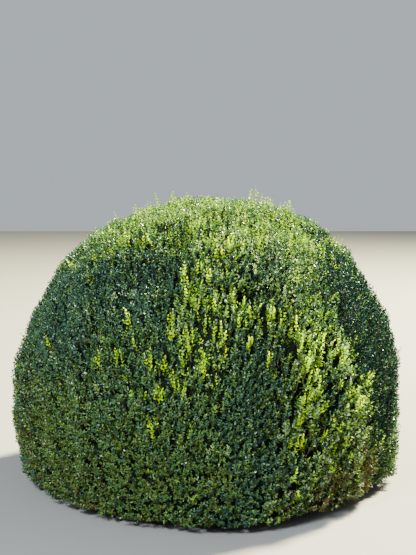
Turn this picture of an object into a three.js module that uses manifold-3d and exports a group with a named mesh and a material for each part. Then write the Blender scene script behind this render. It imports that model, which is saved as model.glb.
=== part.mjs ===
// A box shrub clipped to a squat ball and rooted in open ground, in millimetres.
// +Z is up and the side shown in front faces -Y. The origin is the middle of the flat cut
// under the stem, at ground level.
//
// A short stem with a root flare forks into seven boughs. Each bough carries one mass of
// foliage: the cap of the ball, or one of six sides. A mass is a stem that branches out to a
// dense shell of leaves, with sprays standing out of that shell as far as the clipped outline.

import * as THREE from 'three';
import { mergeVertices } from 'three/addons/utils/BufferGeometryUtils.js';
import Module from 'manifold-3d';

const wasm = await Module();
wasm.setup();

const SEED = 20;
const TUFT_SEED = 70;
const SPRAY_SEED = 100; // the side masses and the cap take this and the numbers after it
const SHOOT_SEED = 920;

// The clipped outline, measured from the middle of the waist
const BALL_RADIUS = 1035;
const BALL_TOP = 1530;
const WAIST_HEIGHT = 475;
const TOP_FULLNESS = 2.14; // 2 is an ellipse, and more is squarer
const FOOT_FULLNESS = 2.7;
const FOOT_DEPTH = 860; // below the waist, where the lower curve would close
const SKIRT_HEIGHT = 30; // the lowest leaves
const SHELL_FLOOR = 52;
const LEAN_AT_FOOT = [24, -24]; // how far the ball's middle stands off the stem, in X and Y
const LEAN_AT_WAIST = [-10, 0];
const LEAN_AT_TOP = [24, 0];

// Waves in the surface. Size is a share of the radius, and pitch is radians across the radius.
const LUMPS = { count: 7, size: 0.007, pitch: [5, 12] }; // in the whole clipped outline
const TUFTS = { count: 5, size: 0.008, pitch: [22, 38] }; // in the dense shell of leaves

// Depths under the outline, as shares of the distance from the middle of the waist
const CORE_SHARE = 0.905;
const HOLLOW_SHARE = 0.79;
const BRANCH_END_SHARE = 0.845;
const TWIG_FOOT_SHARE = 0.87;
const TWIG_TIP_SHARE = 0.925;

// How the ball is shared out among the boughs
const CAP_ANGLE = THREE.MathUtils.degToRad(36); // from straight up
const SIDE_NAMES = ['right', 'back_right', 'back_left', 'left', 'front_left', 'front_right'];
const SIDE_ANGLE = (2 * Math.PI) / SIDE_NAMES.length;
const CORE_SEGMENTS = [30, 18]; // around, and from top to bottom
const HOLLOW_SEGMENTS = [18, 10];
const CAP_SEGMENTS = 24;
const SEAM = 1.5; // each mass keeps this far inside its own space
const SEAT_GAP = 0.3; // between pieces that touch

// The stem
const STEM_HEIGHT = 225;
const STEM_RADIUS = 76;
const STEM_TOP_RADIUS = 68;
const STEM_SIDES = 25;
const STEM_STEPS = 7;
const STEM_LEAN = [10, -6]; // of its top
const ROOT_COUNT = 5;
const ROOT_FLARE = 46; // how far a root's shoulder stands out at the ground
const ROOT_FADE = 55; // height over which the flare dies away
const TOP_ROUNDING = 0.8; // how far the stem rounds over at its top, from 0 to 1
const STEM_SHOULDER = 0.72; // share of the height where the rounded top begins

// The boughs, from the stem's shoulder into the hollow of the crown
const BOUGH_RADIUS = 29;
const BOUGH_TIP_RADIUS = 19;
const BOUGH_ROOT = [36, 120]; // distance from the stem's line, and height
const BOUGH_BEND = [125, 330];
const BOUGH_TIP = [400, 470];
const LEADER_RADIUS = 30;
const LEADER_TIP_RADIUS = 21;
const LEADER_ROOT_HEIGHT = 150;
const LEADER_TIP_HEIGHT = 800;
const LEADER_SWAY = 34;
const BOUGH_SWAY = 0.14; // share by which the height and reach of a side bough vary
const BOUGH_SIDES = 8;
const BOUGH_STEPS = 6;

// The woody parts of a mass
const MASS_STEM_LENGTH = 190;
const MASS_FORK_SHARE = 0.45; // of that length, where the low branches spread
const MASS_ROOT_SHARE = 0.2; // of the way back from its end, where the high ones do
const MASS_STEM_RADIUS = 13; // where it ends
const BRANCH_COUNT = 32; // over the whole ball
const BRANCH_RADIUS = 10;
const BRANCH_END_RADIUS = 5;
const BRANCH_SIDES = 3;
const BRANCH_ROOM = 40; // least distance from a branch's end to the edge of the mass's space

// The sprays that stand out of a mass
const TWIG_COUNT = 88; // over the whole ball
const LOWEST_RISE = -0.395; // of the lowest twig's direction, as a sine
const TWIG_RADIUS = 8;
const TWIG_TIP_RADIUS = 6;
const TWIG_SIDES = 4;
const UPSWEEP = 0.07; // how far a twig's tip leans up from straight out, in radians
const LEAF_LENGTH = 152;
const LEAF_WIDTH = 0.56; // of its length
const LEAF_THICKNESS = 0.065;
const LEAF_LENGTH_SPREAD = 0.24;
const LEAF_PAIRS = [
  { at: 0.62, splay: 1.34 }, // place on the twig, and angle from it in radians
  { at: 0.86, splay: 1.18 },
];
const TIP_LEAF_SPLAY = 0.3;
const TIP_LEAF_LENGTH = 0.42; // of the others'
const LEAF_SUNK = 2; // how far a leaf's root is sunk past the twig's middle
const TALL_SHOOTS = [
  // shoots that have grown out of the clipped top since it was cut
  { x: 240, y: -60, rise: 64 },
  { x: 340, y: 40, rise: 52 },
  { x: -190, y: -80, rise: 46 },
  { x: 60, y: 260, rise: 40 },
];

const GOLDEN_ANGLE = Math.PI * (3 - Math.sqrt(5));
const UP = new THREE.Vector3(0, 0, 1);
const ALONG_TWIG = new THREE.Vector3(0, 1, 0);

// Numbers from 0 to 1 that are the same on every run
function dice(seed) {
  let state = seed;
  return () => {
    state = (state * 16807) % 2147483647;
    return state / 2147483647;
  };
}

function onLeg(azimuth, out, height) {
  return new THREE.Vector3(out * Math.cos(azimuth), out * Math.sin(azimuth), height);
}

function direction(azimuth, rise) {
  return onLeg(azimuth, Math.sqrt(1 - rise * rise), rise);
}

// How far the surface stands out in a direction, as a share of the radius: a sum of waves
function makeWaves({ count, size, pitch }, roll) {
  const waves = Array.from({ length: count }, () => ({
    across: direction(2 * Math.PI * roll(), 2 * roll() - 1).multiplyScalar(
      THREE.MathUtils.lerp(...pitch, roll()),
    ),
    phase: 2 * Math.PI * roll(),
  }));
  return (way) =>
    size * waves.reduce((sum, { across, phase }) => sum + Math.cos(way.dot(across) + phase), 0);
}

const lumpAt = makeWaves(LUMPS, dice(SEED));
const tuftAt = makeWaves(TUFTS, dice(TUFT_SEED));

// How far the ball's middle stands off the stem's line at a height
function lean(height) {
  const t = (height - WAIST_HEIGHT) / (height > WAIST_HEIGHT ? BALL_TOP - WAIST_HEIGHT : WAIST_HEIGHT);
  const end = t > 0 ? LEAN_AT_TOP : LEAN_AT_FOOT;
  const [x, y] = LEAN_AT_WAIST.map((atWaist, i) => atWaist + (end[i] - atWaist) * t * t);
  return new THREE.Vector3(x, y, 0);
}

// The point of the outline that lies a way out from the middle of the waist. A share under 1
// gives a point inside.
function ballPoint(way, share) {
  const [fullness, depth] = way.z > 0 ? [TOP_FULLNESS, BALL_TOP - WAIST_HEIGHT] : [FOOT_FULLNESS, FOOT_DEPTH];
  const across = Math.hypot(way.x, way.y) / BALL_RADIUS;
  const reach = (across ** fullness + (Math.abs(way.z) / depth) ** fullness) ** (-1 / fullness);
  const point = way.clone().multiplyScalar(reach * share * (1 + lumpAt(way)));
  point.z += WAIST_HEIGHT;
  return point.add(lean(point.z));
}

// Directions spread evenly over the ball by the golden angle, from its top to its skirt
function spots(count) {
  return Array.from({ length: count }, (_, i) =>
    direction(i * GOLDEN_ANGLE, 1 - (1 - LOWEST_RISE) * ((i + 0.5) / count)),
  );
}

// The spaces of the masses
function azimuthOf(point) {
  return Math.atan2(point.y, point.x);
}

function turnBetween(a, b) {
  return Math.abs(THREE.MathUtils.euclideanModulo(a - b + Math.PI, 2 * Math.PI) - Math.PI);
}

// How far inside a mass's space a point lies, in millimetres, and negative outside it
function roomIn(mass, point) {
  const fromMiddle = point.clone().sub(new THREE.Vector3(0, 0, WAIST_HEIGHT));
  const belowCap = fromMiddle.length() * Math.sin(fromMiddle.angleTo(UP) - CAP_ANGLE);
  if (mass.isCap) return -belowCap;
  const across = Math.hypot(point.x, point.y);
  const toSeam = across * Math.sin(SIDE_ANGLE / 2 - turnBetween(azimuthOf(point), mass.azimuth));
  return Math.min(belowCap, toSeam, point.z - SKIRT_HEIGHT);
}

// Solids
function solid(geometry) {
  geometry.deleteAttribute('normal');
  geometry.deleteAttribute('uv');
  const merged = mergeVertices(geometry, 1e-3);
  return new wasm.Manifold(
    new wasm.Mesh({
      numProp: 3,
      vertProperties: merged.attributes.position.array,
      triVerts: new Uint32Array(merged.index.array),
    }),
  );
}

function moveVertices(geometry, place) {
  const position = geometry.attributes.position;
  const vertex = new THREE.Vector3();
  for (let i = 0; i < position.count; i++) {
    vertex.fromBufferAttribute(position, i);
    position.setXYZ(i, ...place(vertex).toArray());
  }
  return geometry;
}

// A round limb along a curve, with a flat cut at each end
function limb(curve, radiusAt, sides, steps) {
  const frames = curve.computeFrenetFrames(steps);
  const geometry = new THREE.CylinderGeometry(1, 1, 1, sides, steps);
  return solid(
    moveVertices(geometry, (vertex) => {
      const along = vertex.y + 0.5;
      const ring = Math.round(along * steps);
      const radius = radiusAt(along, Math.atan2(vertex.x, vertex.z));
      return curve
        .getPointAt(along)
        .addScaledVector(frames.binormals[ring], vertex.x * radius)
        .addScaledVector(frames.normals[ring], vertex.z * radius);
    }),
  );
}

function taperedLimb(from, to, fromRadius, toRadius, sides) {
  const radiusAt = (along) => THREE.MathUtils.lerp(fromRadius, toRadius, along);
  return limb(new THREE.LineCurve3(from, to), radiusAt, sides, 1);
}

// The one body that fusing was meant to give: scraps are dropped and sealed hollows filled
function mainBody(made) {
  const bodies = made.decompose().filter((body) => body.volume() > 0);
  return bodies.reduce((largest, body) => (body.volume() > largest.volume() ? body : largest));
}

// The stem: its radius swells into the roots at the ground and rounds over at the fork
function stem(clearance) {
  const height = STEM_HEIGHT + clearance;
  const upright = new THREE.Vector3(0, 0, height / 2);
  const line = new THREE.QuadraticBezierCurve3(
    new THREE.Vector3(), upright, new THREE.Vector3(...STEM_LEAN, height),
  );
  const radiusAt = (along, angle) => {
    const flare = ROOT_FLARE * Math.exp((-along * STEM_HEIGHT) / ROOT_FADE);
    const root = (0.5 + 0.5 * Math.cos(ROOT_COUNT * angle + Math.sin(2 * angle))) ** 2;
    const plain = THREE.MathUtils.lerp(STEM_RADIUS, STEM_TOP_RADIUS, along);
    const overTop = Math.max(0, along - STEM_SHOULDER) / (1 - STEM_SHOULDER);
    return (plain + flare * root) * Math.sqrt(1 - TOP_ROUNDING * overTop ** 2) + clearance;
  };
  return limb(line, radiusAt, STEM_SIDES, STEM_STEPS);
}

// The line of each bough, from inside the stem to where its mass begins
function boughLine(mass) {
  const roll = dice(SEED + mass.number);
  const stemTop = new THREE.Vector3(...STEM_LEAN, 0);
  if (mass.isCap) {
    return new THREE.CatmullRomCurve3([
      stemTop.clone().setZ(LEADER_ROOT_HEIGHT),
      stemTop.clone().setZ(STEM_HEIGHT),
      new THREE.Vector3(LEADER_SWAY, LEADER_SWAY / 2, (STEM_HEIGHT + LEADER_TIP_HEIGHT) / 2),
      lean(LEADER_TIP_HEIGHT).setZ(LEADER_TIP_HEIGHT),
    ]);
  }
  const sway = () => 1 + BOUGH_SWAY * (2 * roll() - 1);
  return new THREE.QuadraticBezierCurve3(
    onLeg(mass.azimuth, ...BOUGH_ROOT).add(stemTop),
    onLeg(mass.azimuth, BOUGH_BEND[0], BOUGH_BEND[1] * sway()),
    onLeg(mass.azimuth, BOUGH_TIP[0] * sway(), BOUGH_TIP[1] * sway()),
  );
}

function bough(mass, clearance) {
  const [from, to] = mass.isCap ? [LEADER_RADIUS, LEADER_TIP_RADIUS] : [BOUGH_RADIUS, BOUGH_TIP_RADIUS];
  const radiusAt = (along) => THREE.MathUtils.lerp(from, to, along) + clearance;
  return limb(boughLine(mass), radiusAt, BOUGH_SIDES, BOUGH_STEPS);
}

// The dense shell of leaves under the whole clipped surface
function ballSolid(shareAt, segments) {
  const geometry = new THREE.SphereGeometry(1, ...segments).rotateX(Math.PI / 2);
  return solid(
    moveVertices(geometry, (vertex) => {
      const way = vertex.clone().normalize();
      return ballPoint(way, shareAt(way));
    }),
  );
}

function wholeShell() {
  const side = 4 * BALL_RADIUS;
  const floor = new THREE.BoxGeometry(side, side, side);
  floor.translate(0, 0, SHELL_FLOOR - side / 2);
  const outside = ballSolid((way) => CORE_SHARE + tuftAt(way), CORE_SEGMENTS);
  const inside = ballSolid(() => HOLLOW_SHARE, HOLLOW_SEGMENTS);
  return outside.subtract(inside).subtract(solid(floor));
}

// A cone that opens upwards from the middle of the waist and holds the cap
function capCone(clearance) {
  const height = 2 * BALL_RADIUS;
  const outside = clearance > 0 ? 1 / Math.cos(Math.PI / CAP_SEGMENTS) : 1;
  const cone = new THREE.ConeGeometry(height * Math.tan(CAP_ANGLE) * outside, height, CAP_SEGMENTS);
  cone.rotateX(-Math.PI / 2);
  cone.translate(0, 0, WAIST_HEIGHT + height / 2 - clearance / Math.sin(CAP_ANGLE));
  return solid(cone);
}

function sideWedge(mass) {
  const far = 3 * BALL_RADIUS;
  const near = SEAM / Math.sin(SIDE_ANGLE / 2);
  const halfWidth = (far - near) * Math.tan(SIDE_ANGLE / 2);
  const outline = new THREE.Shape([
    new THREE.Vector2(near, 0),
    new THREE.Vector2(far, -halfWidth),
    new THREE.Vector2(far, halfWidth),
  ]);
  const wedge = new THREE.ExtrudeGeometry(outline, { depth: far, bevelEnabled: false });
  return solid(wedge.rotateZ(mass.azimuth));
}

function shellOf(mass, shell) {
  return mass.isCap
    ? shell.intersect(capCone(-SEAM))
    : shell.subtract(capCone(SEAM)).intersect(sideWedge(mass));
}

// The woody parts inside a mass: one stem that goes on from the bough's tip, and branches that
// spread from it to their ends in the shell
function massStem(mass) {
  const line = boughLine(mass);
  const along = line.getTangentAt(1);
  const seat = line.getPointAt(1);
  return {
    seat: seat.clone().addScaledVector(along, SEAT_GAP),
    fork: seat.clone().addScaledVector(along, MASS_STEM_LENGTH * MASS_FORK_SHARE),
    end: seat.clone().addScaledVector(along, MASS_STEM_LENGTH),
    radius: mass.isCap ? LEADER_TIP_RADIUS : BOUGH_TIP_RADIUS,
  };
}

function branchEnds(mass) {
  return spots(BRANCH_COUNT)
    .map((way) => ballPoint(way, BRANCH_END_SHARE))
    .filter((end) => roomIn(mass, end) > BRANCH_ROOM);
}

function branches(mass) {
  const { seat, fork, end, radius } = massStem(mass);
  const highRoot = end.clone().lerp(fork, MASS_ROOT_SHARE);
  return [
    taperedLimb(seat, end, radius, MASS_STEM_RADIUS, BOUGH_SIDES),
    ...branchEnds(mass).map((tip) =>
      taperedLimb(tip.z > end.z ? highRoot : fork, tip, BRANCH_RADIUS, BRANCH_END_RADIUS, BRANCH_SIDES),
    ),
  ];
}

// Where a twig leaves the shell and where it ends. It leans up as far as its space allows.
function twigLine(mass, way) {
  const tryLine = (sweep) => {
    const uphill = UP.clone().addScaledVector(way, -way.z).normalize();
    const swept = way.clone().addScaledVector(uphill, sweep).normalize();
    return { foot: ballPoint(way, TWIG_FOOT_SHARE), tip: ballPoint(swept, TWIG_TIP_SHARE) };
  };
  return [UPSWEEP, 0].map(tryLine).find(({ foot, tip }) => {
    const room = Math.min(roomIn(mass, foot), roomIn(mass, tip));
    return room > TWIG_RADIUS + SEAM;
  });
}

// A leaf with eight faces, on a twig that points along +Y. It is turned about the twig by turn
// and tilted away from it by splay.
function leaf(height, splay, turn, length) {
  return new THREE.OctahedronGeometry(1)
    .scale((length * LEAF_WIDTH) / 2, length / 2, (length * LEAF_THICKNESS) / 2)
    .translate(0, length / 2 - LEAF_SUNK, 0)
    .rotateX(splay)
    .rotateY(turn)
    .translate(0, height, 0);
}

// A four-sided twig with opposite pairs of leaves, each pair at right angles to the last, and one
// leaf at its tip. Each leaf grows out of the middle of one of the twig's flats.
function spray(mass, foot, tip, roll) {
  const length = foot.distanceTo(tip);
  const along = tip.clone().sub(foot).normalize();
  const turned = new THREE.Quaternion().setFromAxisAngle(ALONG_TWIG, 2 * Math.PI * roll());
  const aimed = new THREE.Quaternion().setFromUnitVectors(ALONG_TWIG, along).multiply(turned);
  const place = new THREE.Matrix4().compose(foot, aimed, new THREE.Vector3(1, 1, 1));
  const leafLength = () => LEAF_LENGTH * (1 + LEAF_LENGTH_SPREAD * (roll() - 0.5));

  const leaves = LEAF_PAIRS.flatMap(({ at, splay }, pair) =>
    [0, Math.PI].map((half) => leaf(at * length, splay, half + (pair * Math.PI) / 2, leafLength())),
  );
  leaves.push(leaf(length - LEAF_SUNK, TIP_LEAF_SPLAY, Math.PI / 4, TIP_LEAF_LENGTH * leafLength()));

  const fits = (geometry) => {
    const points = geometry.attributes.position;
    const corner = new THREE.Vector3();
    for (let i = 0; i < points.count; i++) {
      if (roomIn(mass, corner.fromBufferAttribute(points, i)) < SEAM) return false;
    }
    return true;
  };
  const twig = new THREE.CylinderGeometry(
    TWIG_TIP_RADIUS, TWIG_RADIUS, length, TWIG_SIDES, 1, false, Math.PI / TWIG_SIDES,
  ).translate(0, length / 2, 0);
  return [twig, ...leaves].map((geometry) => geometry.applyMatrix4(place)).filter(fits).map(solid);
}

function sprays(mass) {
  const roll = dice(SPRAY_SEED + mass.number);
  return spots(TWIG_COUNT).flatMap((way) => {
    const line = roomIn(mass, ballPoint(way, 1)) > 0 && twigLine(mass, way);
    return line ? spray(mass, line.foot, line.tip, roll) : [];
  });
}

function tallShoots(mass) {
  const roll = dice(SHOOT_SEED);
  if (!mass.isCap) return [];
  return TALL_SHOOTS.flatMap(({ x, y, rise }) => {
    const way = new THREE.Vector3(x, y, BALL_TOP - WAIST_HEIGHT).normalize();
    const foot = ballPoint(way, TWIG_FOOT_SHARE);
    const tip = ballPoint(way, 1).add(new THREE.Vector3(0, 0, rise - LEAF_LENGTH * TIP_LEAF_LENGTH));
    return spray(mass, foot, tip, roll);
  });
}

function foliage(mass, shell) {
  const pieces = [shellOf(mass, shell), ...branches(mass), ...sprays(mass), ...tallShoots(mass)];
  return mainBody(wasm.Manifold.union(pieces));
}

// The assembly
const bark = new THREE.MeshStandardMaterial({ color: 0x6b5a42, roughness: 0.95, metalness: 0 });
const greens = [0x3f6b2f, 0x35602c, 0x2f5a33, 0x335c2b, 0x3d6a30, 0x2c5533, 0x487635].map(
  (color) => new THREE.MeshStandardMaterial({ color, roughness: 0.6, metalness: 0, flatShading: true }),
);

function meshOf(name, made, material) {
  const { vertProperties, triVerts } = made.getMesh();
  const geometry = new THREE.BufferGeometry();
  geometry.setAttribute('position', new THREE.BufferAttribute(vertProperties, 3));
  geometry.setIndex(new THREE.BufferAttribute(triVerts, 1));
  geometry.computeVertexNormals();
  const mesh = new THREE.Mesh(geometry, material);
  mesh.name = name;
  return mesh;
}

const masses = [
  ...SIDE_NAMES.map((name, number) => ({ name, number, azimuth: number * SIDE_ANGLE })),
  { name: 'top', number: SIDE_NAMES.length, isCap: true },
];

const plant = new THREE.Group();
plant.add(meshOf('stem', stem(0), bark));

let taken = stem(SEAT_GAP);
for (const mass of [...masses].reverse()) {
  plant.add(meshOf(`bough_${mass.name}`, mainBody(bough(mass, 0).subtract(taken)), bark));
  taken = taken.add(bough(mass, SEAT_GAP));
}

const shell = wholeShell();
masses.forEach((mass, i) => {
  plant.add(meshOf(`foliage_${mass.name}`, foliage(mass, shell), greens[i]));
});

export default plant;
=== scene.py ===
# The looks of the clipped box ball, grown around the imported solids. Metres, +Z up, front towards -Y.
import math

import bpy
import numpy as np
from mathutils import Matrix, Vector
from mathutils.kdtree import KDTree


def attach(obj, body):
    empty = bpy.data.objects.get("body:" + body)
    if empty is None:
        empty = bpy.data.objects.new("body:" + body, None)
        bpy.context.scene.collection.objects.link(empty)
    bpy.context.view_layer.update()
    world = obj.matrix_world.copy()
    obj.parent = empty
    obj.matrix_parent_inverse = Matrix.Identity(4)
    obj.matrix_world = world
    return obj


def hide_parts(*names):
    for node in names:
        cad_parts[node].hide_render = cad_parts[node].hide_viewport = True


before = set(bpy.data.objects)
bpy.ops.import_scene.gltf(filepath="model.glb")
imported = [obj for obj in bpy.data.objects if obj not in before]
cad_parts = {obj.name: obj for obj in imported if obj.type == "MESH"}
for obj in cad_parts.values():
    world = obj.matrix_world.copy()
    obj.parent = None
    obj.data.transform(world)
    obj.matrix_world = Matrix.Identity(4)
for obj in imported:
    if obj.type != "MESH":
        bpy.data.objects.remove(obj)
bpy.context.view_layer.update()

bpy.ops.object.select_all(action="DESELECT")
print("frame:", len(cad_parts), "solids")

# The clipped outline, by the rule and the seeds of the part's source
ball = {
    "radius": 1.035,
    "top": 1.53,
    "waist": 0.475,
    "topFullness": 2.14,  # 2 is an ellipse, and more is squarer
    "footFullness": 2.9,  # a little fuller than the solids, by the leaves that hang there
    "footDepth": 0.86,
    "leanAtFoot": (0.024, -0.024),
    "leanAtWaist": (-0.010, 0.0),
    "leanAtTop": (0.024, 0.0),
    "lumps": {"count": 7, "size": 0.007, "pitch": (5, 12), "seed": 20},
    "lowestRise": -0.395,  # of the lowest sprays, as a sine
    "skirt": 0.028,  # nothing hangs lower than this
    "capAngle": math.radians(36),
}
sideNames = ["right", "back_right", "back_left", "left", "front_left", "front_right"]
massNames = sideNames + ["top"]
sideCount = len(sideNames)
topMass = sideCount  # its number, after those of the sides
goldenAngle = math.pi * (3 - math.sqrt(5))
up = np.array([0.0, 0.0, 1.0])


def dice(seed):  # the source's own numbers from 0 to 1
    state = seed
    while True:
        state = (state * 16807) % 2147483647
        yield state / 2147483647


def directions(azimuths, rises):
    out = np.sqrt(1 - np.square(rises))
    return np.stack([out * np.cos(azimuths), out * np.sin(azimuths), rises * np.ones_like(out)], -1)


def unit(vectors):
    return vectors / np.linalg.norm(vectors, axis=-1, keepdims=True)


def makeWaves(count, size, pitch, seed):
    numbers = dice(seed)
    waves = []
    for _ in range(count):
        across = directions(2 * math.pi * next(numbers), 2 * next(numbers) - 1)
        across = across * (pitch[0] + (pitch[1] - pitch[0]) * next(numbers))
        waves.append((across, 2 * math.pi * next(numbers)))
    return lambda ways: size * sum(np.cos(ways @ across + phase) for across, phase in waves)


lumpAt = makeWaves(**ball["lumps"])


def leanAt(heights):  # how far the ball's middle stands off the stem's line
    above = heights > ball["waist"]
    t = (heights - ball["waist"]) / np.where(above, ball["top"] - ball["waist"], ball["waist"])
    end = np.where(above[..., None], ball["leanAtTop"], ball["leanAtFoot"])
    waist = np.array(ball["leanAtWaist"])
    across = waist + (end - waist) * np.square(t)[..., None]
    return np.concatenate([across, np.zeros_like(across[..., :1])], -1)


def profileOf(ways):
    above = ways[..., 2] > 0
    fullness = np.where(above, ball["topFullness"], ball["footFullness"])
    depth = np.where(above, ball["top"] - ball["waist"], ball["footDepth"])
    across = np.linalg.norm(ways[..., :2], axis=-1)
    return fullness, depth, across


def ballPoints(ways, shares):  # share 1 is the clipped surface, and less is inside
    fullness, depth, across = profileOf(ways)
    reach = (across / ball["radius"]) ** fullness + (np.abs(ways[..., 2]) / depth) ** fullness
    reach = reach ** (-1 / fullness)
    points = ways * (reach * shares * (1 + lumpAt(ways)))[..., None]
    points[..., 2] += ball["waist"]
    return points + leanAt(points[..., 2])


def outwardAt(ways):  # square to the clipped surface
    fullness, depth, across = profileOf(ways)
    slope = (across / ball["radius"]) ** (fullness - 1) / ball["radius"] / np.maximum(across, 1e-6)
    rise = np.sign(ways[..., 2]) * (np.abs(ways[..., 2]) / depth) ** (fullness - 1) / depth
    return unit(np.stack([ways[..., 0] * slope, ways[..., 1] * slope, rise], -1))


def waysTo(points):  # the directions in which points lie, from the middle of the waist
    middle = leanAt(points[..., 2]) + up * ball["waist"]
    return unit(points - middle)


def spots(count, lowest):  # directions spread evenly over the ball
    i = np.arange(count)
    return directions(i * goldenAngle, 1 - (1 - lowest) * (i + 0.5) / count)


def massOf(points):  # the number of the mass whose space each point is in
    fromWaist = points - up * ball["waist"]
    tilt = np.arccos(np.clip(unit(fromWaist)[..., 2], -1, 1))
    turn = np.arctan2(points[..., 1], points[..., 0])
    side = np.round(turn / (2 * math.pi / sideCount)).astype(int) % sideCount
    return np.where(tilt < ball["capAngle"], topMass, side)


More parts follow.
